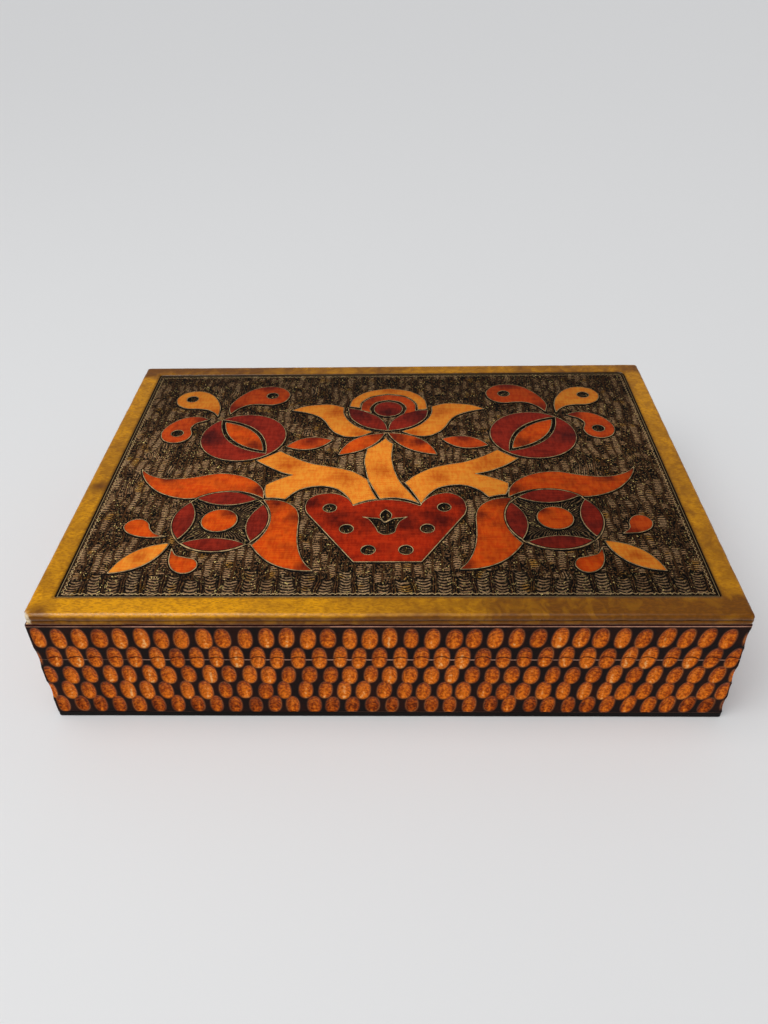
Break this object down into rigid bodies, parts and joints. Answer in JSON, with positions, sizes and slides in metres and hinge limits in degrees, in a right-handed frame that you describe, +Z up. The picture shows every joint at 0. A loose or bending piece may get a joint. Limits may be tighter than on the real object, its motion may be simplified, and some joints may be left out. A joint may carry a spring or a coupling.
{
  "type": "carved wooden trinket box",
  "caption": "Shallow rectangular wooden box with gouge-carved walls and a lid with folk flower ornament that opens on brass butt hinges at the back.",
  "frame": {"origin": "middle of the base panel's underside, on the surface the box stands on", "axes": "+X to the right along the box's length, +Y to the back where the hinges are, +Z up; the front looks towards -Y"},
  "size_m": [0.28, 0.2026, 0.0594],
  "materials": {
    "lid_board": "stained and lacquered, semi-gloss",
    "carved_wall": "dark stain cut through by gouge scoops, lacquered, semi-gloss",
    "base_board": "dark stained plywood, matt",
    "hinge_brass": "aged brass, satin"
  },
  "bodies": {
    "base": {"base_panel": "base_board", "base_front_wall": "carved_wall", "base_right_wall": "carved_wall", "base_back_wall": "carved_wall", "base_left_wall": "carved_wall", "left_hinge_base_leaf": "hinge_brass", "left_hinge_base_nail_1": "hinge_brass", "left_hinge_base_nail_2": "hinge_brass", "left_hinge_base_nail_3": "hinge_brass", "left_hinge_pin": "hinge_brass", "right_hinge_base_leaf": "hinge_brass", "right_hinge_base_nail_1": "hinge_brass", "right_hinge_base_nail_2": "hinge_brass", "right_hinge_base_nail_3": "hinge_brass", "right_hinge_pin": "hinge_brass"},
    "lid": {"top_panel": "lid_board", "lid_front_rail": "carved_wall", "lid_right_rail": "carved_wall", "lid_back_rail": "carved_wall", "lid_left_rail": "carved_wall", "left_hinge_lid_leaf": "hinge_brass", "left_hinge_lid_nail_1": "hinge_brass", "left_hinge_lid_nail_2": "hinge_brass", "left_hinge_lid_nail_3": "hinge_brass", "right_hinge_lid_leaf": "hinge_brass", "right_hinge_lid_nail_1": "hinge_brass", "right_hinge_lid_nail_2": "hinge_brass", "right_hinge_lid_nail_3": "hinge_brass"}
  },
  "joints": [
    {"name": "lid_hinge", "type": "hinge", "parent": "base", "child": "lid", "pos_m": [0, 0.09995, 0.035], "axis": [-1, 0, 0], "range_deg": [0, 100]}
  ]
}
